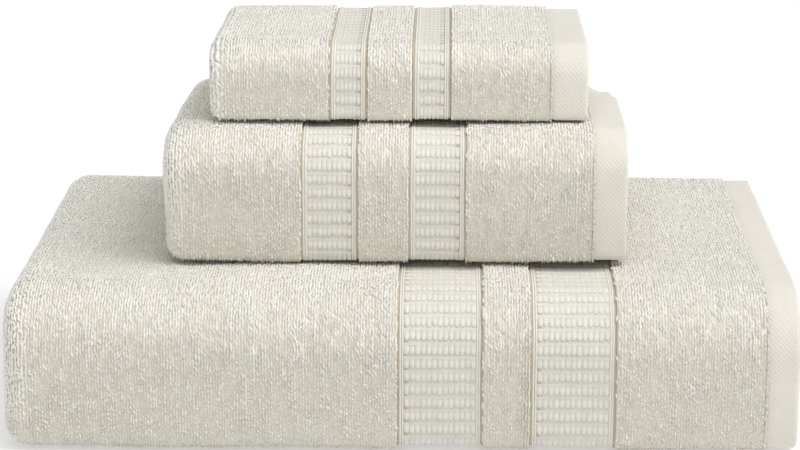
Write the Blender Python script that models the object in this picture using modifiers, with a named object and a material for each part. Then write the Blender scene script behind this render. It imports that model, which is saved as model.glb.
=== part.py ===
"""A bath towel set: a bath towel, a hand towel and a washcloth, folded and stacked.

Each towel is folded end over end along X, and then in thirds along Y: the lower
leaf lies at the bottom, the cloth turns up round the front fold into the top leaf,
turns back round the rear fold, and the last third is tucked between the two leaves.
The frame is in metres, +Z up, with the origin at the bottom centre of the stack.
The front fold faces -Y, and the sewn end hems are at +X.
"""
import math

import bmesh
import bpy

# ---- driving dimensions, in metres ----

CLEARANCE = 0.0003          # between pieces that touch
CORNER_STEPS = 6            # straight runs in each rounded corner
REAR_FOLD_STEPS = 12        # straight runs round the rear fold
GROOVE_OVERCUT = 0.002      # how far a groove's cutter stands outside the cloth
END_OVERCUT = 0.005         # how far a groove's cutter runs past the cloth's ends
WELD = 0.00001              # merges a drawn outline's caps with its sides
RIM_ANGLE = 60              # degrees: edges sharper than this are rounded
SMOOTH_ANGLE = 35           # degrees: edges sharper than this stay crisp in shading

BATH = {
    "name": "bath",
    "length": 0.355,            # along X, folded
    "depth": 0.238,             # along Y, folded
    "leaf": 0.02455,            # thickness of one third of the fold
    "centre": (0.0, 0.0),       # X and Y on the stack
    "frontTopRadius": 0.029,
    "frontFootRadius": 0.012,
    "frontFoldFlat": 0.002,     # level top of the front fold, behind its radius
    "bandFromEnd": 0.081,       # sewn end to the outer woven band
    "bandWidth": 0.0378,
    "bandGap": 0.0212,          # terry between the two bands
    "bandRecess": 0.0022,
    "bandThickness": 0.0020,
    "hemWidth": 0.0145,
    "hemRecess": 0.0013,
    "hemThickness": 0.0022,
    "sideHemWidth": 0.011,
    "threadWidth": 0.0008,
    "threadInset": 0.0012,      # hem's inner edge to the seam
    "rimRadius": 0.0012,
}

HAND = {
    "name": "hand",
    "length": 0.2124,
    "depth": 0.157,
    "leaf": 0.0206,
    "centre": (-0.0031, 0.0075),
    "frontTopRadius": 0.020,
    "frontFootRadius": 0.010,
    "frontFoldFlat": 0.003,
    "bandFromEnd": 0.0731,
    "bandWidth": 0.0260,
    "bandGap": 0.0231,
    "bandRecess": 0.0019,
    "bandThickness": 0.0018,
    "hemWidth": 0.0153,
    "hemRecess": 0.0013,
    "hemThickness": 0.0020,
    "sideHemWidth": 0.010,
    "threadWidth": 0.0008,
    "threadInset": 0.0012,
    "rimRadius": 0.0012,
}

WASH = {
    "name": "wash",
    "length": 0.1735,
    "depth": 0.112,
    "leaf": 0.01225,
    "centre": (-0.0012, 0.0035),
    "frontTopRadius": 0.015,
    "frontFootRadius": 0.006,
    "frontFoldFlat": 0.002,
    "bandFromEnd": 0.0628,
    "bandWidth": 0.0172,
    "bandGap": 0.0209,
    "bandRecess": 0.0016,
    "bandThickness": 0.0016,
    "hemWidth": 0.0170,
    "hemRecess": 0.0013,
    "hemThickness": 0.0018,
    "sideHemWidth": 0.009,
    "threadWidth": 0.0008,
    "threadInset": 0.0012,
    "rimRadius": 0.0010,
}

# ---- materials: colour, roughness, metallic ----

FINISHES = {
    "terry": ((0.800, 0.765, 0.680, 1.0), 0.95, 0.0),
    "waffle_band": ((0.845, 0.815, 0.740, 1.0), 0.88, 0.0),
    "hem_twill": ((0.790, 0.755, 0.680, 1.0), 0.85, 0.0),
    "thread": ((0.870, 0.840, 0.765, 1.0), 0.70, 0.0),
}


def clearScene():
    for item in list(bpy.data.objects):
        bpy.data.objects.remove(item, do_unlink=True)


def makeCollection(name):
    collection = bpy.data.collections.new(name)
    bpy.context.scene.collection.children.link(collection)
    return collection


def makeMaterial(name):
    colour, roughness, metallic = FINISHES[name]
    material = bpy.data.materials.get(name) or bpy.data.materials.new(name)
    material.use_nodes = True
    shader = material.node_tree.nodes["Principled BSDF"]
    shader.inputs["Base Color"].default_value = colour
    shader.inputs["Roughness"].default_value = roughness
    shader.inputs["Metallic"].default_value = metallic
    return material


# ---- outlines in the YZ plane, measured from the towel's own bottom centre ----

def height(towel):
    return 3 * towel["leaf"]


def front(towel):
    return -towel["depth"] / 2


def rear(towel):
    return towel["depth"] / 2


def frontFoldBack(towel):
    """Where the front fold ends and the leaves behind it begin."""
    return front(towel) + towel["frontTopRadius"] + towel["frontFoldFlat"]


def leafRear(towel):
    """Where the lower leaf ends and its side hem begins."""
    return rear(towel) - towel["sideHemWidth"] - CLEARANCE


def leafFront(towel):
    """Where the top leaf and the tucked leaf start, behind the front fold."""
    return frontFoldBack(towel) + CLEARANCE


def arc(centreY, centreZ, radius, startDeg, endDeg, steps):
    angles = [math.radians(startDeg + (endDeg - startDeg) * i / steps) for i in range(steps + 1)]
    return [(centreY + radius * math.cos(a), centreZ + radius * math.sin(a)) for a in angles]


def lowerPath(towel, inset, rearEnd, frontTop):
    """The outside of the lower leaf, from the rear along the underside and up the front."""
    radius = towel["frontFootRadius"]
    corner = arc(front(towel) + radius, radius, radius - inset, -90, -180, CORNER_STEPS)
    return [(rearEnd, inset)] + corner + [(front(towel) + inset, frontTop)]


def upperPath(towel, inset, frontFoot, rearRun=0.0):
    """The outside above the hinge: up the front, over the top and round the rear fold."""
    radius, turn, top = towel["frontTopRadius"], towel["leaf"], height(towel)
    path = [(front(towel) + inset, frontFoot)]
    path += arc(front(towel) + radius, top - radius, radius - inset, 180, 90, CORNER_STEPS)
    path += arc(rear(towel) - turn, top - turn, turn - inset, 90, -90, REAR_FOLD_STEPS)
    if rearRun:
        path.append((path[-1][0] - rearRun, path[-1][1]))
    return path


def lowerStrip(towel, outer, inner):
    """A band that lies on the lower leaf, between two depths below the terry."""
    ends = (leafRear(towel), towel["leaf"] - CLEARANCE)
    return lowerPath(towel, outer, *ends) + lowerPath(towel, inner, *ends)[::-1]


def upperStrip(towel, outer, inner):
    """A band that lies on everything above the hinge, between two depths below the terry."""
    foot = towel["leaf"]
    return upperPath(towel, outer, foot) + upperPath(towel, inner, foot)[::-1]


def lowerGroove(towel, depth):
    ends = (rear(towel) + END_OVERCUT, towel["leaf"] + END_OVERCUT)
    return lowerPath(towel, -GROOVE_OVERCUT, *ends) + lowerPath(towel, depth, *ends)[::-1]


def upperGroove(towel, depth):
    ends = (towel["leaf"] - END_OVERCUT, END_OVERCUT)
    return upperPath(towel, -GROOVE_OVERCUT, *ends) + upperPath(towel, depth, *ends)[::-1]


def box(y0, y1, z0, z1):
    return [(y0, z0), (y1, z0), (y1, z1), (y0, z1)]


def lowerLeafOutline(towel):
    top = towel["leaf"] - CLEARANCE
    return lowerPath(towel, 0.0, leafRear(towel), top) + [(leafRear(towel), top)]


def frontFoldOutline(towel):
    radius, top = towel["frontTopRadius"], height(towel)
    back = frontFoldBack(towel)
    corner = arc(front(towel) + radius, top - radius, radius, 180, 90, CORNER_STEPS)
    return [(front(towel), towel["leaf"])] + corner + [(back, top), (back, towel["leaf"])]


def topLeafOutline(towel):
    turn = rear(towel) - towel["leaf"] - CLEARANCE
    return box(leafFront(towel), turn, 2 * towel["leaf"] + CLEARANCE, height(towel))


def rearFoldOutline(towel):
    turn = towel["leaf"]
    return arc(rear(towel) - turn, height(towel) - turn, turn, 90, -90, REAR_FOLD_STEPS)


def tuckedLeafOutline(towel):
    turn = rear(towel) - towel["leaf"] - CLEARANCE
    start = leafFront(towel) + towel["sideHemWidth"] + CLEARANCE
    return box(start, turn, towel["leaf"], 2 * towel["leaf"])


def rearSideHemOutline(towel):
    ease = 2 * CLEARANCE
    start = rear(towel) - towel["sideHemWidth"]
    return box(start, rear(towel), ease, towel["leaf"] - CLEARANCE)


def tuckedSideHemOutline(towel):
    start = leafFront(towel)
    return box(start, start + towel["sideHemWidth"], towel["leaf"], 2 * towel["leaf"])


# ---- solids ----

def extrudeOutline(name, outline, x0, x1, collection):
    """An outline drawn in Y and Z, filled and extruded along X, as a welded mesh."""
    curve = bpy.data.curves.new(name, "CURVE")
    curve.dimensions = "2D"
    curve.fill_mode = "BOTH"
    curve.extrude = (x1 - x0) / 2
    spline = curve.splines.new("POLY")
    spline.points.add(len(outline) - 1)
    for point, (y, z) in zip(spline.points, outline):
        point.co = (y, z, 0.0, 1.0)
    spline.use_cyclic_u = True
    drawn = bpy.data.objects.new(name + "_outline", curve)
    collection.objects.link(drawn)
    bpy.context.view_layer.update()
    evaluated = drawn.evaluated_get(bpy.context.evaluated_depsgraph_get())
    mesh = bpy.data.meshes.new_from_object(evaluated)
    bpy.data.objects.remove(drawn, do_unlink=True)
    bpy.data.curves.remove(curve)
    weldMesh(mesh)
    mesh.name = name
    solid = bpy.data.objects.new(name, mesh)
    solid.rotation_euler = (math.pi / 2, 0.0, math.pi / 2)
    solid.location = ((x0 + x1) / 2, 0.0, 0.0)
    collection.objects.link(solid)
    return solid


def weldMesh(mesh):
    work = bmesh.new()
    work.from_mesh(mesh)
    bmesh.ops.remove_doubles(work, verts=work.verts, dist=WELD)
    bmesh.ops.recalc_face_normals(work, faces=work.faces)
    work.to_mesh(mesh)
    work.free()


def roundRims(solid, radius):
    """Chamfers the rims of the two end faces and the square corners of the outline."""
    bevel = solid.modifiers.new("round_rims", "BEVEL")
    bevel.width = radius
    bevel.segments = 1
    bevel.limit_method = "ANGLE"
    bevel.angle_limit = math.radians(RIM_ANGLE)


def cutGrooves(solid, cutters):
    for cutter in cutters:
        groove = solid.modifiers.new(cutter.name, "BOOLEAN")
        groove.operation = "DIFFERENCE"
        groove.object = cutter
        groove.solver = "EXACT"


def finish(solid, materialName):
    solid.data.materials.clear()
    solid.data.materials.append(makeMaterial(materialName))
    solid.data.shade_smooth()
    solid.data.set_sharp_from_angle(angle=math.radians(SMOOTH_ANGLE))


def bandSpans(towel):
    """The X range of each woven band, counted from the sewn end."""
    outerEnd = towel["length"] / 2 - towel["bandFromEnd"]
    outerStart = outerEnd - towel["bandWidth"]
    innerEnd = outerStart - towel["bandGap"]
    return {
        "outer_band": (outerStart, outerEnd),
        "inner_band": (innerEnd - towel["bandWidth"], innerEnd),
    }


def hemSpan(towel):
    return towel["length"] / 2 - towel["hemWidth"], towel["length"] / 2


def makeGrooves(towel, cutters):
    """The recesses for the bands and the end hem, below and above the hinge."""
    bandDepth = towel["bandRecess"] + towel["bandThickness"] + CLEARANCE
    hemDepth = towel["hemRecess"] + towel["hemThickness"] + CLEARANCE
    spans = [(name, x0 - CLEARANCE, x1 + CLEARANCE, bandDepth)
             for name, (x0, x1) in bandSpans(towel).items()]
    hemStart, hemEnd = hemSpan(towel)
    spans.append(("end_hem", hemStart - CLEARANCE, hemEnd + END_OVERCUT, hemDepth))
    grooves = {"lower": [], "upper": []}
    for name, x0, x1, depth in spans:
        for level, outline in (("lower", lowerGroove), ("upper", upperGroove)):
            cutterName = f"{towel['name']}_{name}_{level}_cutter"
            cutter = extrudeOutline(cutterName, outline(towel, depth), x0, x1, cutters)
            cutter.hide_render = True
            cutter.display_type = "WIRE"
            grooves[level].append(cutter)
    return grooves


def makeLeaves(towel, parts, grooves):
    """The terry cloth itself, below the hinge and above it."""
    half = towel["length"] / 2
    outlines = {
        "lower": {"lower_leaf": lowerLeafOutline},
        "upper": {"front_fold": frontFoldOutline, "top_leaf": topLeafOutline,
                  "rear_fold": rearFoldOutline, "tucked_leaf": tuckedLeafOutline},
    }
    made = {"lower": [], "upper": []}
    for level, shapes in outlines.items():
        for part, outline in shapes.items():
            name = f"{towel['name']}_{part}"
            solid = extrudeOutline(name, outline(towel), -half, half, parts)
            if part in ("lower_leaf", "front_fold", "rear_fold"):
                roundRims(solid, towel["rimRadius"])
            if part != "tucked_leaf":
                cutGrooves(solid, grooves[level])
            finish(solid, "terry")
            made[level].append(solid)
    return made


def makeBands(towel, parts):
    outer = towel["bandRecess"]
    inner = outer + towel["bandThickness"]
    made = {"lower": [], "upper": []}
    for band, (x0, x1) in bandSpans(towel).items():
        for level, outline in (("lower", lowerStrip), ("upper", upperStrip)):
            name = f"{towel['name']}_{band}_{level}"
            strip = extrudeOutline(name, outline(towel, outer, inner), x0, x1, parts)
            finish(strip, "waffle_band")
            made[level].append(strip)
    return made


def makeEndHem(towel, parts):
    """The turned and sewn end of the outer layer, and the seam that holds it."""
    outer = towel["hemRecess"]
    inner = outer + towel["hemThickness"]
    x0, x1 = hemSpan(towel)
    seamEnd = outer - CLEARANCE
    seamStart = seamEnd - towel["threadWidth"]
    seamX = x0 + towel["threadInset"]
    made = {"lower": [], "upper": []}
    for level, outline in (("lower", lowerStrip), ("upper", upperStrip)):
        hemName = f"{towel['name']}_end_hem_{level}"
        hem = extrudeOutline(hemName, outline(towel, outer, inner), x0, x1, parts)
        finish(hem, "hem_twill")
        seamName = f"{towel['name']}_hem_thread_{level}"
        seam = extrudeOutline(seamName, outline(towel, seamStart, seamEnd),
                              seamX, seamX + towel["threadWidth"], parts)
        finish(seam, "thread")
        made[level] += [hem, seam]
    return made


def makeSideHems(towel, parts):
    half = towel["length"] / 2
    made = {"lower": [], "upper": []}
    for level, part, outline in (("lower", "rear_side_hem", rearSideHemOutline),
                                 ("upper", "tucked_side_hem", tuckedSideHemOutline)):
        hem = extrudeOutline(f"{towel['name']}_{part}", outline(towel), -half, half, parts)
        finish(hem, "hem_twill")
        made[level].append(hem)
    return made


def makeAxis(name, place, parent, parts):
    """An empty on a joint's axis, which carries everything that the joint moves."""
    axis = bpy.data.objects.new(name, None)
    axis.empty_display_size = 0.02
    parts.objects.link(axis)
    attach(axis, place, parent)
    return axis


def attach(item, place, parent):
    """Puts an item at a place in the stack's frame, under its parent."""
    origin = parent["place"] if parent else (0.0, 0.0, 0.0)
    item.location = [p - o for p, o in zip(place, origin)]
    if parent:
        item.parent = parent
    if item.type == "EMPTY":
        item["place"] = place


def makeTowel(towel, baseZ, parent, parts, cutters):
    """One folded towel, its lower leaf on the parent and the rest on its fold axis."""
    x, y = towel["centre"]
    base = makeAxis(f"{towel['name']}_base", (x, y, baseZ), parent, parts)
    hingePlace = (x, y + front(towel), baseZ + towel["leaf"] - CLEARANCE / 2)
    hinge = makeAxis(f"{towel['name']}_fold_axis", hingePlace, base, parts)
    grooves = makeGrooves(towel, cutters)
    for cutter in grooves["lower"] + grooves["upper"]:
        attach(cutter, (x + cutter.location.x, y, baseZ), None)
    for group in (makeLeaves(towel, parts, grooves), makeBands(towel, parts),
                  makeEndHem(towel, parts), makeSideHems(towel, parts)):
        for level, carrier in (("lower", base), ("upper", hinge)):
            for solid in group[level]:
                attach(solid, (x + solid.location.x, y, baseZ), carrier)
    return hinge


def main():
    clearScene()
    parts = makeCollection("bath_towel_set")
    cutters = makeCollection("cutters")
    baseZ, carrier = 0.0, None
    for towel in (BATH, HAND, WASH):
        carrier = makeTowel(towel, baseZ, carrier, parts, cutters)
        baseZ += height(towel) + CLEARANCE
    bpy.context.view_layer.update()


main()
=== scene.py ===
import math

import bmesh
import bpy
import numpy as np
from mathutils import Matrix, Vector


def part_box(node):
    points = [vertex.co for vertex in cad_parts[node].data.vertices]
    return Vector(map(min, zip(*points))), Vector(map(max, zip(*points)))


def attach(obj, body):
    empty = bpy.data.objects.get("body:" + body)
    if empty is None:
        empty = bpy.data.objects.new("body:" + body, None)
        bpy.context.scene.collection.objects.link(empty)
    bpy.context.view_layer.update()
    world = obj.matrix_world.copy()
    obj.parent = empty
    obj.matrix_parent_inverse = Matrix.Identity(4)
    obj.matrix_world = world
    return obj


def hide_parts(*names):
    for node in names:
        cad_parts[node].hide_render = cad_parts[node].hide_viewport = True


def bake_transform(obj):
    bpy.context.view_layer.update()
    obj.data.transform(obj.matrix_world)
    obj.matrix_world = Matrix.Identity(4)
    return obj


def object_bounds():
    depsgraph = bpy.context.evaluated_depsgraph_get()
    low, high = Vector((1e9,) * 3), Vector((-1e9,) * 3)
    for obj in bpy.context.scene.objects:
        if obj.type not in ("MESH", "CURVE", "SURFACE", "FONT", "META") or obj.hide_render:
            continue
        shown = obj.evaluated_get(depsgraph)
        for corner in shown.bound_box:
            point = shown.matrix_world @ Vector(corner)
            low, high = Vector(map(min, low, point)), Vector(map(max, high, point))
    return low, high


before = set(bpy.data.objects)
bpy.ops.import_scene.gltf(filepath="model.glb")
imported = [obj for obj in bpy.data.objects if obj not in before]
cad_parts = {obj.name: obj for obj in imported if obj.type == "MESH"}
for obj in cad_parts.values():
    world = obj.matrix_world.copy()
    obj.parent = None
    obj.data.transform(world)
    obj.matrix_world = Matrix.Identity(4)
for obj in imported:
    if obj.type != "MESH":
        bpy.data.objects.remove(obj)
cadBounds = [list(corner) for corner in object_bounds()]
print("frame loaded")


class Signal:
    def __init__(self, recipe, socket):
        self.recipe = recipe
        self.socket = socket

    def combine(self, operation, first, second):
        return self.recipe.add("ShaderNodeMath", {"operation": operation}, {0: first, 1: second})

    def __add__(self, other):
        return self.combine("ADD", self, other)

    def __radd__(self, other):
        return self.combine("ADD", other, self)

    def __sub__(self, other):
        return self.combine("SUBTRACT", self, other)

    def __rsub__(self, other):
        return self.combine("SUBTRACT", other, self)

    def __mul__(self, other):
        return self.combine("MULTIPLY", self, other)

    def __rmul__(self, other):
        return self.combine("MULTIPLY", other, self)

    def __truediv__(self, other):
        return self.combine("DIVIDE", self, other)


class Recipe:
    def __init__(self, name):
        self.material = bpy.data.materials.new(name)
        self.material.use_nodes = True
        self.tree = self.material.node_tree
        self.tree.nodes.clear()

    def add(self, kind, settings=None, sockets=None, output=0):
        node = self.tree.nodes.new(kind)
        for key, value in (settings or {}).items():
            if key == "stops":
                for stop, (place, shade) in zip(rampStops(node, len(value)), value):
                    stop.position = place
                    stop.color = shade
            else:
                setattr(node, key, value)
        for key, value in (sockets or {}).items():
            if isinstance(value, Signal):
                self.tree.links.new(value.socket, node.inputs[key])
            else:
                node.inputs[key].default_value = value
        return Signal(self, node.outputs[output]) if node.outputs else None

    def blend(self, share, first, second):
        return self.add("ShaderNodeMix", {"data_type": "RGBA"}, {0: share, 6: first, 7: second}, 2)

    def wave(self, value, period):
        turns = value * (2 * math.pi / period)
        return self.add("ShaderNodeMath", {"operation": "SINE"}, {0: turns})

    def clamp(self, value):
        return self.add("ShaderNodeClamp", {}, {0: value})

    def noise(self, place, scale, detail=2.0, rough=0.5):
        sockets = {"Vector": place, "Scale": scale, "Detail": detail, "Roughness": rough}
        return self.add("ShaderNodeTexNoise", {}, sockets)

    def cloth(self):
        # where the point was on the flat cloth: along, across, and above its middle
        return self.add("ShaderNodeAttribute", {"attribute_name": "cloth"}, {}, 1)

    def along(self, place):
        return self.add("ShaderNodeSeparateXYZ", {}, {0: place}, 0)

    def across(self, place):
        return self.add("ShaderNodeSeparateXYZ", {}, {0: place}, 1)

    def finish(self, look, color, roughness, height):
        normal = self.add("ShaderNodeBump", {}, {
            "Strength": look["bump"], "Distance": look["bumpHeight"], "Height": height})
        shader = self.add("ShaderNodeBsdfPrincipled", {}, {
            "Base Color": color, "Roughness": roughness, "Normal": normal,
            "Specular IOR Level": look["specular"], "Sheen Weight": look["sheen"],
            "Sheen Roughness": look["sheenRoughness"], "Subsurface Weight": look["soft"],
            "Subsurface Radius": (1.0, 0.9, 0.75), "Subsurface Scale": look["softDepth"]})
        self.add("ShaderNodeOutputMaterial", {}, {"Surface": shader})
        return self.material


def rampStops(node, wanted):
    found = node.color_ramp.elements
    while len(found) < wanted:
        found.new(1.0)
    return found


terryLook = {
    # the darkest ground colour is painted shade for the gaps between loops
    "gapShade": (0.60, 0.575, 0.495, 1), "shade": (0.72, 0.69, 0.605, 1),
    "light": (0.95, 0.935, 0.875, 1),
    "pebble": 0.0015,               # one pressed loop on the ground between the raised ones
    "cloud": 38.0, "loopFibre": 2600.0, "groundFibre": 2400.0,
    "bump": 0.5, "bumpHeight": 0.0002, "groundBumpHeight": 0.0009,
    "specular": 0.12, "sheen": 0.25, "sheenRoughness": 0.6,
    "soft": 0.3, "softDepth": 0.0004,
}


def loopCotton():
    # the looped yarn: each loop has its own tone, darkened near the foot as painted shade, and
    # fine twisted fibre over it
    recipe = Recipe("creamLoopCotton")
    tone = recipe.add("ShaderNodeAttribute", {"attribute_name": "tone"}, {}, 2)
    place = recipe.add("ShaderNodeTexCoord", {}, {}, 3)
    cloudy = recipe.noise(place, terryLook["cloud"], 3.0)
    fibre = recipe.noise(place, terryLook["loopFibre"], 2.0, 0.7)
    share = recipe.clamp(tone * 0.8 + cloudy * 0.35 + fibre * 0.25 - 0.15)
    color = recipe.blend(share, terryLook["shade"], terryLook["light"])
    roughness = 0.98 - fibre * 0.12
    return recipe.finish(terryLook, color, roughness, fibre)


def groundCotton():
    # the woven ground between and under the loops, pebbled where loops are pressed flat; its dark
    # colour is painted shade for the gaps between the loops
    recipe = Recipe("creamGroundCotton")
    place = recipe.cloth()
    pebbles = recipe.add("ShaderNodeTexVoronoi", {"feature": "SMOOTH_F1"}, {
        "Vector": place, "Scale": 1 / terryLook["pebble"], "Smoothness": 0.4})
    fibre = recipe.noise(place, terryLook["groundFibre"], 2.0, 0.7)
    cloudy = recipe.noise(place, terryLook["cloud"], 3.0)
    share = recipe.clamp(0.85 - pebbles * 0.8 + cloudy * 0.3 + fibre * 0.2)
    color = recipe.blend(share, terryLook["gapShade"], terryLook["shade"])
    height = fibre * 0.25 - pebbles
    look = dict(terryLook, bumpHeight=terryLook["groundBumpHeight"])
    return recipe.finish(look, color, 0.98 - fibre * 0.1, height)


waffleLook = {
    # the slit colour is painted shade for the dark grooves between grains
    "tan": (0.64, 0.55, 0.42, 1), "slitShade": (0.50, 0.46, 0.37, 1),
    "flat": (0.75, 0.73, 0.655, 1), "grain": (0.855, 0.835, 0.765, 1),
    "places": (0.0, 0.25, 0.6, 1.0),            # of the four shades, from the tan line up
    "yarn": 0.00044, "twist": 1300.0, "cloud": 30.0,
    "bump": 0.6, "bumpHeight": 0.0003, "specular": 0.2, "sheen": 0.15, "sheenRoughness": 0.5,
    "soft": 0.3, "softDepth": 0.0004,
}


def waffleCotton():
    # smooth bright yarn, fine ribs along each grain, and painted shade low down between grains
    recipe = Recipe("creamWaffleCotton")
    place = recipe.cloth()
    tone = recipe.add("ShaderNodeAttribute", {"attribute_name": "tone"}, {}, 2)
    ribs = recipe.wave(recipe.along(place), waffleLook["yarn"])
    drawn = recipe.add("ShaderNodeMapping", {}, {"Vector": place, "Scale": (1.0, 0.3, 1.0)})
    twist = recipe.noise(drawn, waffleLook["twist"], 2.0, 0.6)
    cloudy = recipe.noise(place, waffleLook["cloud"], 2.0)
    share = recipe.clamp(tone * 0.95 + ribs * 0.02 + twist * 0.5 + cloudy * 0.12 - 0.3)
    shades = [waffleLook[shade] for shade in ("tan", "slitShade", "flat", "grain")]
    color = recipe.add("ShaderNodeValToRGB", {"stops": list(zip(waffleLook["places"], shades))},
                       {"Fac": share})
    height = ribs * 0.4 + twist
    return recipe.finish(waffleLook, color, 0.82 - twist * 0.15, height)


twillLook = {
    "shade": (0.62, 0.59, 0.51, 1), "light": (0.80, 0.775, 0.71, 1),
    "rib": 0.0021, "wander": 420.0, "fibre": 1500.0, "worn": 60.0,
    "bump": 0.5, "bumpHeight": 0.0003, "specular": 0.18, "sheen": 0.15, "sheenRoughness": 0.5,
    "soft": 0.3, "softDepth": 0.0004,
}


def twillCotton():
    # flat hem with slanting ribs, each rib broken into short floats
    recipe = Recipe("creamTwillCotton")
    place = recipe.cloth()
    along, across = recipe.along(place), recipe.across(place)
    wander = recipe.noise(place, twillLook["wander"], 2.0, 0.6)
    ribs = recipe.wave(across - along + wander * 0.0016, twillLook["rib"])
    floats = recipe.wave(across + along * 0.6 + wander * 0.0012, twillLook["rib"] * 0.6)
    fibre = recipe.noise(place, twillLook["fibre"], 2.0, 0.7)
    worn = recipe.noise(place, twillLook["worn"], 3.0)
    share = recipe.clamp(0.06 + ribs * (0.09 + floats * 0.16) + fibre * 0.65 + worn * 0.4)
    color = recipe.blend(share, twillLook["shade"], twillLook["light"])
    height = ribs * (0.3 + floats * 0.35) + fibre * 0.9
    return recipe.finish(twillLook, color, 0.9 - fibre * 0.12, height)


threadLook = {
    "shade": (0.66, 0.63, 0.55, 1), "light": (0.90, 0.89, 0.85, 1),
    "twist": 0.0006, "fibre": 3000.0,
    "bump": 0.7, "bumpHeight": 0.0002, "specular": 0.25, "sheen": 0.1, "sheenRoughness": 0.4,
    "soft": 0.2, "softDepth": 0.0003,
}


def sewingThread():
    # tightly twisted, a little glossier than the cloth
    recipe = Recipe("creamSewingThread")
    place = recipe.cloth()
    ply = recipe.wave(recipe.across(place) + recipe.along(place) * 1.4, threadLook["twist"])
    fibre = recipe.noise(place, threadLook["fibre"], 2.0, 0.6)
    share = recipe.clamp(0.7 + ply * 0.2 + fibre * 0.2 - 0.1)
    color = recipe.blend(share, threadLook["shade"], threadLook["light"])
    return recipe.finish(threadLook, color, 0.65 + fibre * 0.2, ply + fibre)


loopMaterial, groundMaterial = loopCotton(), groundCotton()
waffleMaterial, twillMaterial, threadMaterial = waffleCotton(), twillCotton(), sewingThread()
print("finishes made")


# doublings is how often the cloth is folded end over end before its width is folded in
# thirds, and the droops are how far the two rear corners of the top sag
bath = {
    "name": "bath", "seed": 11, "restsOn": [], "doublings": 2,
    "footRadius": 0.010, "topRadius": 0.029, "hemDroop": 0.0, "foldDroop": 0.0,
    "bandRecess": 0.0022, "bandColumns": 13, "hemRecess": 0.0013,
    "innerHemSetback": 0.006, "centreFoldSetback": 0.0035, "leftTuck": 0.0010,
}
hand = {
    "name": "hand", "seed": 23, "restsOn": ["bath_upper_cloth"], "doublings": 2,
    "footRadius": 0.0052, "topRadius": 0.020, "hemDroop": 0.0095, "foldDroop": 0.004,
    "bandRecess": 0.0019, "bandColumns": 9, "hemRecess": 0.0013,
    "innerHemSetback": 0.005, "centreFoldSetback": 0.003, "leftTuck": 0.0014,
}
wash = {
    "name": "wash", "seed": 37, "restsOn": ["hand_upper_cloth"], "doublings": 1,
    "footRadius": 0.0042, "topRadius": 0.015, "hemDroop": 0.0, "foldDroop": 0.0,
    "bandRecess": 0.0016, "bandColumns": 6, "hemRecess": 0.0013,
    "innerHemSetback": 0.003, "centreFoldSetback": 0.0, "leftTuck": 0.0005,
}
foldLook = {
    "tuckReach": 1.25,              # how far behind the front the tucked third stops, in leaves
    "seamPastCrown": 0.004,         # the cloth's two sheets meet this far behind the crown
    "sharpest": 0.0008,             # radius of the innermost layer at a corner
    "waves": (0.00035, 0.00025, 0.00015),       # wide, slanting and narrow unevenness
    # where a corner's sag starts and over how much it grows, from each end and towards the rear
    "hemSag": (0.022, 0.018), "foldSag": (0.028, 0.02), "rearSag": (0.005, 0.065),
}


def placeTowel(towel):
    # where the folded towel lies, read from the frame's solids
    name = towel["name"]
    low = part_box(f"{name}_lower_leaf")[0]
    towel["left"], towel["front"], towel["base"] = low.x, low.y, low.z
    towel["right"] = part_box(f"{name}_lower_leaf")[1].x
    towel["rear"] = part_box(f"{name}_rear_side_hem")[1].y
    towel["top"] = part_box(f"{name}_top_leaf")[1].z
    towel["leaf"] = (towel["top"] - towel["base"]) / 3
    towel["layers"] = 2 ** towel["doublings"]
    towel["pitch"] = towel["leaf"] / towel["layers"]
    edges = [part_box(f"{name}_{band}_lower") for band in ("inner_band", "outer_band")]
    towel["bands"] = [(towel["right"] - high.x, towel["right"] - low.x) for low, high in edges]
    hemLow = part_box(f"{name}_end_hem_lower")[0]
    towel["hem"] = towel["right"] - hemLow.x
    sideLow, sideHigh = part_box(f"{name}_rear_side_hem")
    towel["sideHem"] = sideHigh.y - sideLow.y
    towel["tuckTip"] = towel["front"] + foldLook["tuckReach"] * towel["leaf"]
    towel["across"] = acrossRuns(towel)
    towel["along"] = alongRuns(towel)
    towel["width"] = sum(towel["across"][-1])
    towel["length"] = sum(run["length"] for run in towel["along"])
    towel["seam"] = towel["across"][4][0] + foldLook["seamPastCrown"]


# Across its width the cloth runs under the towel, up the front, over the top, round the rear
# fold and back in. Each run is (start, length), measured along the outermost layer.
def acrossRuns(towel):
    half, turn = towel["pitch"] / 2, towel["leaf"]
    foot, crown = towel["footRadius"], towel["topRadius"]
    lengths = [
        towel["rear"] - towel["front"] - foot,
        (foot - half) * math.pi / 2,
        towel["top"] - towel["base"] - foot - crown,
        (crown - half) * math.pi / 2,
        towel["rear"] - turn - towel["front"] - crown,
        (turn - half) * math.pi,
        towel["rear"] - turn - towel["tuckTip"],
    ]
    starts = [sum(lengths[:k]) for k in range(len(lengths))]
    return list(zip(starts, lengths))


def flatRun(x0, x1, inset, facing):
    # facing is 1 where the cloth's right side looks out of the roll
    return {"length": abs(x1 - x0), "x": (x0, x1), "inset": inset, "facing": facing}


def foldRun(x, bulge, start, end, facing):
    # half a turn about a line at x, from one inset to the other, bulging left (-1) or right (1)
    radius = abs(end - start) / 2
    return {"length": math.pi * radius, "x": (x, x), "inset": (start + end) / 2, "facing": facing,
            "radius": radius, "bulge": bulge, "sense": 1 if end > start else -1}


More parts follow.
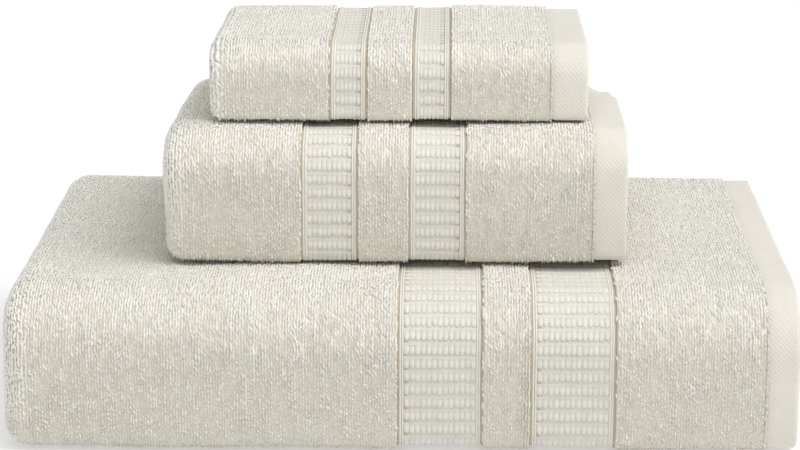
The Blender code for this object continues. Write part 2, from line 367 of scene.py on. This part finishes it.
# Along its length the cloth starts at the sewn end on the right, layer upon layer.
def alongRuns(towel):
    p, right = towel["pitch"], towel["right"]
    turnX = towel["left"] + towel["leftTuck"] + towel["layers"] / 2 * p
    endX = right - towel["innerHemSetback"]
    if towel["layers"] == 2:
        return [flatRun(right, turnX, 0.5 * p, 1), foldRun(turnX, -1, 0.5 * p, 1.5 * p, 1),
                flatRun(turnX, endX, 1.5 * p, -1)]
    centreX = right - towel["centreFoldSetback"] - p
    return [
        flatRun(right, turnX, 0.5 * p, 1), foldRun(turnX, -1, 0.5 * p, 3.5 * p, 1),
        flatRun(turnX, centreX, 3.5 * p, -1), foldRun(centreX, 1, 3.5 * p, 2.5 * p, -1),
        flatRun(centreX, turnX, 2.5 * p, 1), foldRun(turnX, -1, 2.5 * p, 1.5 * p, 1),
        flatRun(turnX, endX, 1.5 * p, -1),
    ]


def foldAlong(towel, s, lift):
    # cloth length and lift -> x, and how deep inside the roll's outer face
    x, inset = np.zeros_like(s), np.zeros_like(s)
    start, last = 0.0, len(towel["along"]) - 1
    for k, run in enumerate(towel["along"]):
        end = start + run["length"]
        here = np.ones(len(s), bool)
        if k > 0:
            here &= s >= start
        if k < last:
            here &= s < end
        share = (s[here] - start) / run["length"]
        raised = lift[here] * run["facing"]
        x0, x1 = run["x"]
        if "radius" in run:
            reach = run["radius"] + run["sense"] * raised
            x[here] = x0 + run["bulge"] * reach * np.sin(math.pi * share)
            inset[here] = run["inset"] - run["sense"] * reach * np.cos(math.pi * share)
        else:
            x[here] = x0 + (x1 - x0) * share
            inset[here] = run["inset"] - raised
        start = end
    return x, inset


def foldAcross(towel, t, inset):
    # cloth width and inset -> y and z
    sharpest = foldLook["sharpest"]
    foot = np.maximum(towel["footRadius"] - inset, sharpest)
    crown = np.maximum(towel["topRadius"] - inset, sharpest)
    rear, base, top = towel["rear"], towel["base"], towel["top"]
    face = towel["front"] + inset
    turnY, turnZ, turn = rear - towel["leaf"], top - towel["leaf"], towel["leaf"] - inset
    starts = np.array([start for start, length in towel["across"]])
    share = [(t - start) / length for start, length in towel["across"]]
    footTurn = -math.pi / 2 * (1 + share[1])
    crownTurn = math.pi - math.pi / 2 * share[3]
    rearTurn = math.pi / 2 - math.pi * share[5]
    y = [
        rear + (face + foot - rear) * share[0],
        face + foot * (1 + np.cos(footTurn)),
        face,
        face + crown * (1 + np.cos(crownTurn)),
        (face + crown) * (1 - share[4]) + turnY * share[4],
        turnY + turn * np.cos(rearTurn),
        turnY + (towel["tuckTip"] - turnY) * share[6],
    ]
    z = [
        base + inset,
        base + inset + foot * (1 + np.sin(footTurn)),
        (base + inset + foot) * (1 - share[2]) + (top - inset - crown) * share[2],
        top - inset - crown * (1 - np.sin(crownTurn)),
        top - inset,
        turnZ + turn * np.sin(rearTurn),
        turnZ - turn,
    ]
    which = np.clip(np.searchsorted(starts, t, side="right") - 1, 0, len(starts) - 1)
    return np.choose(which, y), np.choose(which, z)


def swell(towel, s, t):
    # slow unevenness of the cloth, the same for all that is woven into it or sewn on it
    k = towel["seed"]
    wide, slanting, narrow = foldLook["waves"]
    return (wide * np.sin(s * 31 + k) * np.sin(t * 43 + 2 * k)
            + slanting * np.sin(s * 67 + 3 * k + t * 29)
            + narrow * np.sin(t * 151 + k) * np.sin(s * 19 + k))


def ease(share):
    share = np.clip(share, 0, 1)
    return share * share * (3 - 2 * share)


def foldUp(towel, flat):
    # flat cloth (along, across, lift) -> the folded towel
    s, t, lift = flat.T
    x, inset = foldAlong(towel, s, lift + swell(towel, s, t))
    y, z = foldAcross(towel, t, inset)
    # the loose corners sag at the back, past what lies on the towel
    (hemFrom, hemSpan), (foldFrom, foldSpan) = foldLook["hemSag"], foldLook["foldSag"]
    rearFrom, rearSpan = foldLook["rearSag"]
    behind = ease((y - rearFrom) / rearSpan)
    hemCorner = ease((x - towel["right"] + hemFrom) / hemSpan) * behind
    foldCorner = ease((towel["left"] + foldFrom - x) / foldSpan) * behind
    sag = towel["hemDroop"] * hemCorner + towel["foldDroop"] * foldCorner
    z = z - sag * (z - towel["base"]) / (towel["top"] - towel["base"])
    return np.column_stack([x, y, z])


sharpAngle = 62                     # degrees, past which an edge is drawn sharp


def readPoints(mesh):
    points = np.zeros(len(mesh.vertices) * 3, np.float32)
    mesh.vertices.foreach_get("co", points)
    return points.reshape(-1, 3).astype(float)


def addPiece(towel, name, mesh, flat, material, tone=None):
    # flat cloth is folded up, and keeps its flat place for the finish to follow
    mesh.vertices.foreach_set("co", foldUp(towel, flat).astype(np.float32).ravel())
    mesh.flip_normals()
    mesh.shade_smooth()
    mesh.set_sharp_from_angle(angle=math.radians(sharpAngle))
    place = mesh.attributes.new("cloth", "FLOAT_VECTOR", "POINT")
    place.data.foreach_set("vector", flat.astype(np.float32).ravel())
    if tone is not None:
        shade = mesh.attributes.new("tone", "FLOAT", "POINT")
        shade.data.foreach_set("value", tone.astype(np.float32))
    mesh.update()
    mesh.materials.clear()
    mesh.materials.append(material)
    piece = bpy.data.objects.new(f"{towel['name']}_{name}", mesh)
    bpy.context.scene.collection.objects.link(piece)
    return piece


def followFold(towel, piece, part):
    # pieces on the lower leaf go with the lower body and those over the top with the upper one;
    # the front fold's pieces stay where they are, unattached
    name = towel["name"]
    if part == "lower":
        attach(piece, f"{name}_lower")
    elif part == "upper":
        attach(piece, f"{name}_upper")
    else:
        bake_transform(piece)


def flatSlab(sStops, tStops, half):
    # a grid extruded into a slab, then stretched to the stops and to half the cloth's
    # thickness each way
    work = bmesh.new()
    columns, rows = len(sStops) - 1, len(tStops) - 1
    bmesh.ops.create_grid(work, x_segments=columns, y_segments=rows, size=0.5)
    raised = bmesh.ops.extrude_face_region(work, geom=work.faces[:], use_keep_orig=True)
    lifted = [item for item in raised["geom"] if isinstance(item, bmesh.types.BMVert)]
    bmesh.ops.translate(work, verts=lifted, vec=(0, 0, 1))
    bmesh.ops.recalc_face_normals(work, faces=work.faces)
    mesh = bpy.data.meshes.new("slab")
    work.to_mesh(mesh)
    work.free()
    grid = readPoints(mesh)
    s = np.asarray(sStops)[np.rint((grid[:, 0] + 0.5) * columns).astype(int)]
    t = np.asarray(tStops)[np.rint((grid[:, 1] + 0.5) * rows).astype(int)]
    lift = np.where(grid[:, 2] > 0.5, half(s, t), -half(s, t))
    return mesh, np.column_stack([s, t, lift])


def seedShape(around, rings):
    work = bmesh.new()
    bmesh.ops.create_uvsphere(work, u_segments=around, v_segments=rings, radius=1.0)
    mesh = bpy.data.meshes.new("seed")
    work.to_mesh(mesh)
    work.free()
    return mesh


def repeatShape(seed, count):
    # an array of copies on top of each other, which the caller lays out one by one
    source = bpy.data.objects.new("seed", seed)
    bpy.context.scene.collection.objects.link(source)
    row = source.modifiers.new("row", "ARRAY")
    row.count = count
    row.use_relative_offset = False
    row.use_constant_offset = False
    graph = bpy.context.evaluated_depsgraph_get()
    mesh = bpy.data.meshes.new_from_object(source.evaluated_get(graph))
    bpy.data.objects.remove(source)
    return mesh, readPoints(mesh).reshape(count, -1, 3)


closest = 0.00012                   # two stops nearer than this become one


def steps(start, end, step):
    return np.linspace(start, end, max(2, int(math.ceil(abs(end - start) / step)) + 1))


def stops(*parts):
    # all the places in order, without any that crowds the one before
    found = np.unique(np.round(np.concatenate([np.atleast_1d(part) for part in parts]), 6))
    kept = [found[0]]
    for place in found[1:]:
        if place - kept[-1] > closest:
            kept.append(place)
    kept[-1] = found[-1]
    return np.array(kept)


def alongStops(towel, step):
    found, start = [], 0.0
    for run in towel["along"]:
        fine = run["length"] / (14 if run.get("radius", 0) > towel["pitch"] else 8)
        found.append(steps(start, start + run["length"], fine if "radius" in run else step))
        start += run["length"]
    return stops(*found)


def acrossStops(towel, step, first, last):
    counts = [0, 8, 0, 12, 0, 18, 0]            # stops round the foot, the crown and the rear
    found = []
    for (start, length), count in zip(towel["across"], counts):
        found.append(steps(start, start + length, length / count if count else step))
    inside = np.concatenate(found)
    return stops([first, last], inside[(inside > first + 0.001) & (inside < last - 0.001)])


groundCloth = {
    "pileHeight": 0.0009, "underBand": 0.0003, "underHem": 0.0005, "ramp": 0.0005,
    "alongStep": 0.008, "acrossStep": 0.008,
    "edge": 0.001,                  # its cut edges stop this far inside the hems
}


def groundHalf(towel, s, t):
    # half the ground's thickness: full under loops, thin inside bands and hems
    full = towel["pitch"] / 2 - groundCloth["pileHeight"]
    ramp = groundCloth["ramp"]
    half = np.full_like(s, full)
    underHem = groundCloth["underHem"]
    flatZones = [(near, far, groundCloth["underBand"]) for near, far in towel["bands"]]
    flatZones.append((-1.0, towel["hem"], underHem))
    flatZones.append((towel["length"] - towel["hem"], towel["length"] + 1.0, underHem))
    for near, far, thin in flatZones:
        outside = np.maximum(near - s, s - far)
        half = np.minimum(half, thin + (full - thin) * np.clip(outside / ramp, 0, 1))
    fromSide = np.minimum(t, towel["width"] - t) - towel["sideHem"]
    return np.minimum(half, underHem + (full - underHem) * np.clip(fromSide / ramp, 0, 1))


def makeGround(towel, name, first, last, part):
    ramp = groundCloth["ramp"]
    edges = [towel["hem"], towel["hem"] + ramp]
    edges += [towel["length"] - towel["hem"] - ramp, towel["length"] - towel["hem"]]
    for near, far in towel["bands"]:
        edges += [near - ramp, near, far, far + ramp]
    start, end = groundCloth["edge"], towel["length"] - groundCloth["edge"]
    sStops = alongStops(towel, groundCloth["alongStep"])
    sStops = stops(edges, sStops[(sStops > start) & (sStops < end)], [start, end])
    sides = [towel["sideHem"], towel["sideHem"] + ramp]
    sides += [towel["width"] - side for side in sides]
    sides = [side for side in sides if first < side < last]
    tStops = stops(acrossStops(towel, groundCloth["acrossStep"], first, last), sides)
    mesh, flat = flatSlab(sStops, tStops, lambda s, t: groundHalf(towel, s, t))
    piece = addPiece(towel, name, mesh, flat, groundMaterial)
    followFold(towel, piece, part)
    return piece


pileLook = {
    "columnStep": 0.00128, "rowStep": 0.0016, "jitter": (0.2, 0.4), "hiddenCoarse": 1.7,
    "width": 0.00052, "length": 0.00118, "height": 0.00095, "sizes": (0.82, 1.22),
    "lean": 0.35, "slant": -0.10, "turn": 0.24, "twist": 0.20,
    "bandClear": 0.00012, "hemCover": 0.0002,
    "napSpan": 0.006, "tuftSpan": 0.0027, "streakSpan": (0.0021, 0.009),
    "napShare": 0.35, "tuftShare": 0.3, "streakShare": 0.6, "rise": 0.00042, "uneven": 0.00027,
    "shortest": 0.88, "drawn": 0.45, "wrapSpan": 0.012, "wrapCalm": 0.8, "topCalm": 0.85,
    "pressSpan": 0.004, "pressed": 0.9,
    # the foot tone darkens the loops within the foot span as painted shade
    "tone": 0.52, "looseTone": 0.36, "footShadeTone": 0.1, "footShadeSpan": 0.018,
    "wrapBack": 0.004, "centreSpan": 0.006, "footBack": 0.008, "loopsPerPiece": 24000,
}


def patches(place, span, rng):
    # smooth random field between -1 and 1 with patches about span across
    cell = place / np.asarray(span)
    base = np.floor(cell).astype(int)
    base -= base.min(axis=0)
    part = cell - np.floor(cell)
    part = part * part * (3 - 2 * part)
    grid = rng.uniform(-1, 1, base.max(axis=0) + 2)
    i, j = base.T
    u, v = part.T
    return ((grid[i, j] * (1 - u) + grid[i + 1, j] * u) * (1 - v)
            + (grid[i, j + 1] * (1 - u) + grid[i + 1, j + 1] * u) * v)


def loopPlaces(towel, sRange, tRange, coarse, rng):
    columnStep, rowStep = pileLook["columnStep"] * coarse, pileLook["rowStep"] * coarse
    s = np.arange(sRange[0], sRange[1], columnStep)
    t = np.arange(tRange[0], tRange[1], rowStep)
    place = np.stack(np.meshgrid(s, t, indexing="ij"), axis=-1)
    place[1::2, :, 1] += rowStep / 2
    place = place.reshape(-1, 2)
    loose = np.array(pileLook["jitter"]) * [columnStep, rowStep]
    place = place + rng.uniform(-1, 1, place.shape) * loose
    clear, over = pileLook["bandClear"], pileLook["hemCover"]
    keep = place[:, 0] > towel["hem"] - over
    keep &= place[:, 0] < towel["length"] - towel["hem"] + over
    keep &= place[:, 1] > towel["sideHem"] - over
    keep &= place[:, 1] < towel["width"] - towel["sideHem"] + over
    for near, far in towel["bands"]:
        keep &= (place[:, 0] < near - clear) | (place[:, 0] > far + clear)
    return place[keep]


def loopMood(towel, s, t):
    # low on the front the loops are short, up to the crown they are drawn long, and on top the
    # nap is pressed calm
    foot, crown, over = towel["across"][1][0], towel["across"][3][0], towel["across"][4][0]
    drawn = np.clip((t - foot) / (crown - foot), 0, 1)
    calm = np.clip((t - crown) / (over - crown), 0, 1)
    wrapSpan, pressSpan = pileLook["wrapSpan"], pileLook["pressSpan"]
    wrapped = np.clip((s - towel["along"][0]["length"] + wrapSpan / 2) / wrapSpan, 0, 1)
    calm = np.maximum(calm, pileLook["wrapCalm"] * wrapped * np.clip(0.3 + drawn, 0, 1))
    pressed = np.clip((foot - pressSpan / 2 - t) / pressSpan, 0, 1)     # under the weight
    lively = 1 - np.maximum(pileLook["topCalm"] * calm, pileLook["pressed"] * pressed)
    return pileLook["shortest"] + pileLook["drawn"] * drawn, lively


def makeLoops(towel, name, places, part, coarse, seed):
    rng = np.random.default_rng(seed)
    place = np.concatenate(places)
    place = place[np.argsort(place[:, 1], kind="stable")]
    stretch, lively = loopMood(towel, place[:, 0], place[:, 1])
    nap = patches(place, pileLook["napSpan"], rng) * pileLook["napShare"]
    nap = nap + patches(place, pileLook["tuftSpan"], rng) * pileLook["tuftShare"]
    nap = nap + patches(place, pileLook["streakSpan"], rng) * pileLook["streakShare"]
    nap = nap * lively
    turn = pileLook["slant"] + patches(place, pileLook["napSpan"] * 1.3, rng) * pileLook["turn"]
    axes = np.array([pileLook["width"], pileLook["length"], pileLook["height"]]) * coarse
    foot = towel["across"][1][0]
    pieces, parts = [], max(1, math.ceil(len(place) / pileLook["loopsPerPiece"]))
    for k, chosen in enumerate(np.array_split(np.arange(len(place)), parts)):
        count = len(chosen)
        mesh, shape = repeatShape(seedShape(4, 2), count)
        size = rng.uniform(*pileLook["sizes"], (count, 3)) * axes
        # long slim loops up at the crown, short full ones low down, broad where pressed
        size[:, 1] *= stretch[chosen]
        size[:, 0] *= 1.07 - 0.05 * stretch[chosen]
        size[:, :2] *= 1 + 0.15 * (1 - lively[chosen])[:, None]
        raised = (0.4 + 0.6 * lively[chosen]) * (1.5 - 0.37 * stretch[chosen])
        size[:, 2] *= raised
        body = shape * size[:, None, :]
        body[:, :, 1] += body[:, :, 2] * (pileLook["lean"] * rng.uniform(-1.4, 0.6, (count, 1)))
        angle = turn[chosen] + rng.normal(0, pileLook["twist"], count) * (2.3 - stretch[chosen])
        cosine, sine = np.cos(angle)[:, None], np.sin(angle)[:, None]
        wide, long = body[:, :, 0], body[:, :, 1]
        flat = np.empty_like(body)
        flat[:, :, 0] = place[chosen, 0][:, None] + wide * cosine - long * sine
        flat[:, :, 1] = place[chosen, 1][:, None] + wide * sine + long * cosine
        uneven = rng.uniform(-1, 1, count) * pileLook["uneven"] * lively[chosen]
        rise = towel["pitch"] / 2 - axes[2] * raised + nap[chosen] * pileLook["rise"] + uneven
        flat[:, :, 2] = rise[:, None] + body[:, :, 2]
        loose = rng.uniform(-1, 1, count) * pileLook["looseTone"] * lively[chosen]
        # painted shade: loops low on the front and under the towel are darkened and warmed towards
        # the foot
        low = np.clip(1.2 - (place[chosen, 1] - foot) / pileLook["footShadeSpan"], 0, 1)
        tone = pileLook["tone"] + nap[chosen] * 0.5 + loose - pileLook["footShadeTone"] * low
        tone = np.clip(tone, 0, 1)
        tone = np.repeat(tone, shape.shape[1])
        title = f"{name}_{k + 1}" if parts > 1 else name
        piece = addPiece(towel, title, mesh, flat.reshape(-1, 3), loopMaterial, tone)
        followFold(towel, piece, part)
        pieces.append(piece)
    return pieces


def makePile(towel):
    # one field of loops for each stretch of cloth that can be seen
    rng = np.random.default_rng(towel["seed"])
    starts = [start for start, length in towel["across"]] + [towel["width"]]
    runs, at = [], 0.0
    for run in towel["along"]:
        runs.append((at, at + run["length"]))
        at += run["length"]
    outer = (towel["hem"], runs[1][1])                      # right side and left wrap
    wrap = (runs[1][0] - pileLook["wrapBack"], runs[1][1])
    inside = (runs[1][1], runs[2][1])                       # looks into the roll
    centre = []                                             # the inner turn at the hem end
    if len(runs) > 3:
        span = pileLook["centreSpan"]
        centre = [(runs[3][0] - span, runs[3][1] + span)]
    footStart, seam = starts[1] - pileLook["footBack"], towel["seam"]
    coarse = pileLook["hiddenCoarse"]
    fields = {
        "base_loops": ("lower", coarse, (0, footStart), [wrap, inside] + centre),
        "front_loops": ("front", 1.0, (footStart, seam), [outer] + centre),
        "top_loops": ("upper", 1.0, (seam, starts[5]), [outer] + centre),
        "rear_loops": ("upper", 1.0, (starts[5], starts[6]), [outer] + centre),
        "tucked_loops": ("upper", coarse, (starts[6], towel["width"]), [outer] + centre),
    }
    pieces = {}
    for k, (name, (part, coarse, tRange, sRanges)) in enumerate(fields.items()):
        places = [loopPlaces(towel, sRange, tRange, coarse, rng) for sRange in sRanges]
        pieces[name] = makeLoops(towel, name, places, part, coarse, towel["seed"] * 10 + k)
    return pieces


bandLook = {
    "border": 0.0029, "cords": 2, "cordHeight": 0.0006, "tanWidth": 0.0008,
    "rowPitch": 0.00612, "grainHeight": 0.00075, "grainSink": 0.0001,
    # in row pitches, the offset and length, then the height, half width in columns and tone
    "grainRows": ((0.0, 0.86, 1.0, 0.51, 0.93), (0.42, 0.5, 0.3, 0.6, 0.84)),
    "sizes": (0.93, 1.06), "wander": (0.00006, 0.00012), "middleStep": 0.003, "acrossStep": 0.005,
}


def bandHalf(towel):
    return towel["pitch"] / 2 - towel["bandRecess"]


def makeBandSlab(towel, name, near, far, first, last, part):
    # the flat ground of the band, with fine cords and a tan line along both edges
    border, tan = bandLook["border"], bandLook["tanWidth"]
    pitch = (border - tan) / bandLook["cords"]
    sStops = stops(steps(near, near + border, pitch / 6), steps(far - border, far, pitch / 6),
                   steps(near + border, far - border, bandLook["middleStep"]))
    tStops = acrossStops(towel, bandLook["acrossStep"], first, last)

    def cords(s):
        # 0 in the grooves and on the tan line, 1 along the top of each cord
        fromEdge = np.minimum(s - near, far - s)
        ridge = np.abs(np.sin(math.pi * (fromEdge - tan) / pitch)) ** 0.6
        return np.where((fromEdge > tan) & (fromEdge < border), ridge, 0), fromEdge

    def half(s, t):
        return bandHalf(towel) + cords(s)[0] * bandLook["cordHeight"]

    mesh, flat = flatSlab(sStops, tStops, half)
    ridge, fromEdge = cords(flat[:, 0])
    tone = np.where(fromEdge < border, 0.15 + 0.85 * ridge, 0.62)
    tone = np.where(fromEdge < tan, 0.0, tone)
    piece = addPiece(towel, name, mesh, flat, waffleMaterial, tone)
    followFold(towel, piece, part)
    return piece


def makeBandGrains(towel, name, near, far, first, last, part, seed):
    # rows of soft upright grains side by side, with a flatter row of small ones between
    rng = np.random.default_rng(seed)
    border, columns, rowPitch = bandLook["border"], towel["bandColumns"], bandLook["rowPitch"]
    pitch = (far - near - 2 * border) / columns
    s = near + border + pitch * (np.arange(columns) + 0.5)
    t = np.arange(first + rowPitch / 2, last, rowPitch)
    rows = []
    for offset, share, raised, wide, tone in bandLook["grainRows"]:
        place = np.stack(np.meshgrid(s, t + offset * rowPitch, indexing="ij"), axis=-1)
        place = place.reshape(-1, 2)
        place = place[place[:, 1] < last - 0.001]
        size = np.tile([pitch * wide, rowPitch * share * 0.5, bandLook["grainHeight"] * raised],
                       (len(place), 1))
        rows.append((place, size, np.full(len(place), tone)))
    place, size, tone = (np.concatenate(parts) for parts in zip(*rows))
    mesh, shape = repeatShape(seedShape(8, 4), len(place))
    x, y, z = np.moveaxis(shape, 2, 0)
    wide = np.sign(x) * np.abs(x) ** 0.6                    # full sides that nearly touch
    high = np.sign(z) * np.abs(z) ** 0.8
    fall = np.clip(0.72 - 0.62 * y, 0.12, 1)                # fullest low down, flat at the top
    crown, over = towel["across"][3][0], towel["across"][4][0]
    size[:, 2] *= 1 - 0.4 * ease((place[:, 1] - crown) / (over - crown))
    size = size * rng.uniform(*bandLook["sizes"], size.shape)
    flat = np.empty_like(shape)
    sWander, tWander = (rng.normal(0, spread, (len(place), 1)) for spread in bandLook["wander"])
    flat[:, :, 0] = place[:, :1] + sWander + wide * size[:, :1]
    flat[:, :, 1] = place[:, 1:] + tWander + y * size[:, 1:2]
    flat[:, :, 2] = bandHalf(towel) - bandLook["grainSink"] + high * fall * size[:, 2:]
    # painted shade: each grain's rim is darkened round its sides and foot, most on the tall
    # grains, fading towards the top
    rim = np.abs(z) < 0.1                                   # dark round the sides and foot
    shadow = rim * np.clip(0.6 - y * 0.35, 0, 1) * np.where(tone > 0.9, 0.85, 0.1)[:, None]
    tone = (tone + rng.uniform(-0.08, 0.05, len(tone)))[:, None] - shadow
    flat, tone = flat.reshape(-1, 3), tone.ravel()
    piece = addPiece(towel, name, mesh, flat, waffleMaterial, tone)
    followFold(towel, piece, part)
    return piece


hemLook = {
    "sideRecess": 0.0016, "edge": 0.0008, "sideEdge": 0.0012, "step": 0.0025,
    "sewnSpan": 0.0025, "sewnPinch": 0.4, "alongStep": 0.008, "acrossStep": 0.005,
    "stitch": 0.0031, "stitchGap": 0.0004, "stitchWidth": 0.0006, "stitchInset": 0.0002,
    "stitchSink": 0.0006, "stitchStart": 0.003,
}


def roundedHalf(half, fromEdge):
    # the half thickness near a folded edge
    inside = np.clip(fromEdge / half, 0, 1)
    return half * np.sqrt(np.clip(1 - (1 - inside) ** 2, 0.01, 1))


def edgeStops(start, end, half, rounded):
    # stops across a hem: close together at the folded edge
    curve = half * np.array([0.0, 0.06, 0.2, 0.45, 0.75, 1.0])
    body = steps(half, end - start, hemLook["step"])
    found = np.concatenate([curve, body])
    return np.sort(start + found) if rounded == "start" else np.sort(end - found)


def makeEndHem(towel, name, start, first, last, part, rounded):
    # cloth turned over and sewn flat: rounded where it turns
    half = towel["pitch"] / 2 - towel["hemRecess"]
    end = start + towel["hem"]
    sStops = stops(edgeStops(start, end, half, rounded))
    edge = hemLook["edge"]
    tStops = acrossStops(towel, hemLook["acrossStep"], max(first, edge),
                         min(last, towel["width"] - edge))

    def hemHalf(s, t):
        fromFold = s - start if rounded == "start" else end - s
        fromSewn = towel["hem"] - fromFold
        pinch = np.clip(1 - fromSewn / hemLook["sewnSpan"], 0, 1) ** 2
        return roundedHalf(half, fromFold) * (1 - hemLook["sewnPinch"] * pinch)

    mesh, flat = flatSlab(sStops, tStops, hemHalf)
    piece = addPiece(towel, name, mesh, flat, twillMaterial)
    followFold(towel, piece, part)
    return piece


def makeSideHem(towel, name, start, part, rounded):
    half = towel["pitch"] / 2 - hemLook["sideRecess"]
    end = start + towel["sideHem"]
    tStops = stops(edgeStops(start, end, half, rounded))
    sStops = stops(alongStops(towel, hemLook["alongStep"]), [hemLook["sideEdge"]])
    sStops = sStops[(sStops > 0.001) & (sStops < towel["length"] - 0.001)]

    def hemHalf(s, t):
        return roundedHalf(half, t - start if rounded == "start" else end - t)

    mesh, flat = flatSlab(sStops, tStops, hemHalf)
    piece = addPiece(towel, name, mesh, flat, twillMaterial)
    followFold(towel, piece, part)
    return piece


def makeStitches(towel, name, first, last, part):
    # a lockstitch row: one short raised stitch after another, each sunk at its ends
    start, end = hemLook["stitchStart"], towel["width"] - hemLook["stitchStart"]
    pitch = hemLook["stitch"]
    t = np.arange(max(first, start) + pitch / 2, min(last, end), pitch)
    mesh, shape = repeatShape(seedShape(6, 4), len(t))
    reach = pitch / 2 - hemLook["stitchGap"] / 2
    flat = shape * np.array([hemLook["stitchWidth"], reach, hemLook["stitchWidth"]])
    flat[:, :, 0] += towel["hem"] - hemLook["stitchInset"]
    flat[:, :, 1] += t[:, None]
    flat[:, :, 2] += towel["pitch"] / 2 - hemLook["stitchSink"]
    piece = addPiece(towel, name, mesh, flat.reshape(-1, 3), threadMaterial)
    followFold(towel, piece, part)
    return piece


def makeTowel(towel):
    placeTowel(towel)
    name, seam, width, length = towel["name"], towel["seam"], towel["width"], towel["length"]
    edge = groundCloth["edge"]
    lowerCloth = makeGround(towel, "lower_cloth", edge, seam, "front")
    upperCloth = makeGround(towel, "upper_cloth", seam, width - edge, "upper")
    loops = makePile(towel)
    halves = {"front": (0.0, seam, "front", "lower"), "over": (seam, width, "upper", "upper")}
    trims = {"front": [], "over": []}
    for side, (first, last, part, half) in halves.items():
        for k, (near, far) in enumerate(towel["bands"]):
            band = ("inner", "outer")[k]
            low, high = max(first, towel["sideHem"]), min(last, width - towel["sideHem"])
            slab = makeBandSlab(towel, f"{band}_band_{side}", near, far, low, high, part)
            grains = makeBandGrains(towel, f"{band}_grains_{side}", near, far, low, high, part,
                                    towel["seed"] * 100 + k)
            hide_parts(f"{name}_{band}_band_{half}")
            trims[side] += [slab, grains]
        endHem = makeEndHem(towel, f"end_hem_{side}", 0.0, first, last, part, "start")
        farHem = makeEndHem(towel, f"inner_hem_{side}", length - towel["hem"], first, last,
                            part, "end")
        stitches = makeStitches(towel, f"hem_stitches_{side}", first, last, part)
        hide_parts(f"{name}_end_hem_{half}")
        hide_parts(f"{name}_hem_thread_{half}")
        trims[side] += [endHem, farHem, stitches]
    rearHem = makeSideHem(towel, "rear_side_binding", 0.0, "lower", "start")
    tuckedHem = makeSideHem(towel, "tucked_side_binding", width - towel["sideHem"], "upper", "end")
    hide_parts(f"{name}_rear_side_hem")
    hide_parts(f"{name}_tucked_side_hem")
    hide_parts(f"{name}_lower_leaf", f"{name}_front_fold")
    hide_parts(f"{name}_top_leaf", f"{name}_rear_fold", f"{name}_tucked_leaf")
    trims["front"] + [rearHem] + loops["base_loops"] + loops["front_loops"]
    (trims["over"] + [tuckedHem] + loops["top_loops"] + loops["rear_loops"]
             + loops["tucked_loops"])
    print(f"{name} towel: cloth {width * 1000:.0f} by {length * 1000:.0f} mm")


for towel in (bath, hand, wash):
    makeTowel(towel)


studio = {
    "floorSize": 14.0, "floorGap": 0.0002, "floorShade": (0.6, 0.6, 0.6, 1), "floorGlow": 0.68,
    "floorGlowNear": 0.36, "floorNear": 0.16, "floorFar": 0.75, "sky": 0.37,
    # name, place, size and power of each lamp
    "lamps": (("rightBox", (1.6, -0.5, 2.2), 1.6, 38.5),
              ("frontBox", (0.15, -1.05, 2.3), 2.0, 26.5),
              ("lowFill", (-0.2, -2.2, 0.6), 1.2, 3.0)),
    "lampAim": (0, 0, 0.06),
    "cameraPlace": (0.0216, -1.2003, 0.399), "cameraPitch": 15.15, "cameraTurn": 1.09,
    "lens": 116.0, "sensor": 36.0,
}


def makeFloor():
    work = bmesh.new()
    bmesh.ops.create_grid(work, x_segments=1, y_segments=1, size=studio["floorSize"] / 2)
    height = cadBounds[0][2] - studio["floorGap"]
    bmesh.ops.translate(work, verts=work.verts, vec=(0, 0, height))
    mesh = bpy.data.meshes.new("floor")
    work.to_mesh(mesh)
    work.free()
    recipe = Recipe("paleFloor")
    place = recipe.add("ShaderNodeTexCoord", {}, {}, 3)
    away = recipe.add("ShaderNodeVectorMath", {"operation": "LENGTH"}, {0: place}, 1)
    share = recipe.clamp((away - studio["floorNear"]) / (studio["floorFar"] - studio["floorNear"]))
    near, far = ([studio[glow]] * 3 + [1] for glow in ("floorGlowNear", "floorGlow"))
    shader = recipe.add("ShaderNodeBsdfPrincipled", {}, {
        "Base Color": studio["floorShade"], "Roughness": 0.9, "Specular IOR Level": 0.1,
        "Emission Color": recipe.blend(share, near, far), "Emission Strength": 1.0})
    recipe.add("ShaderNodeOutputMaterial", {}, {"Surface": shader})
    mesh.materials.append(recipe.material)
    floor = bpy.data.objects.new("floor", mesh)
    bpy.context.scene.collection.objects.link(floor)


def makeLights():
    world = bpy.data.worlds.new("studio")
    world.use_nodes = True
    bpy.context.scene.world = world
    sky = world.node_tree.nodes["Background"]
    sky.inputs["Color"].default_value = (1, 1, 1, 1)
    sky.inputs["Strength"].default_value = studio["sky"]
    for name, place, size, power in studio["lamps"]:
        light = bpy.data.lights.new(name, "AREA")
        light.shape = "SQUARE"
        light.size = size
        light.energy = power
        lamp = bpy.data.objects.new(name, light)
        lamp.location = place
        aim = Vector(studio["lampAim"]) - lamp.location
        lamp.rotation_euler = aim.to_track_quat("-Z", "Y").to_euler()
        bpy.context.scene.collection.objects.link(lamp)


def makeCamera():
    lens = bpy.data.cameras.new("camera")
    lens.lens = studio["lens"]
    lens.sensor_width = studio["sensor"]
    lens.clip_start, lens.clip_end = 0.05, 50.0
    camera = bpy.data.objects.new("camera", lens)
    camera.location = studio["cameraPlace"]
    down, turn = math.radians(studio["cameraPitch"]), math.radians(studio["cameraTurn"])
    camera.rotation_euler = (math.pi / 2 - down, 0, turn)
    bpy.context.scene.collection.objects.link(camera)
    bpy.context.scene.camera = camera


makeFloor()
makeLights()
makeCamera()
bpy.context.scene.view_settings.view_transform = "Standard"
print("studio ready")
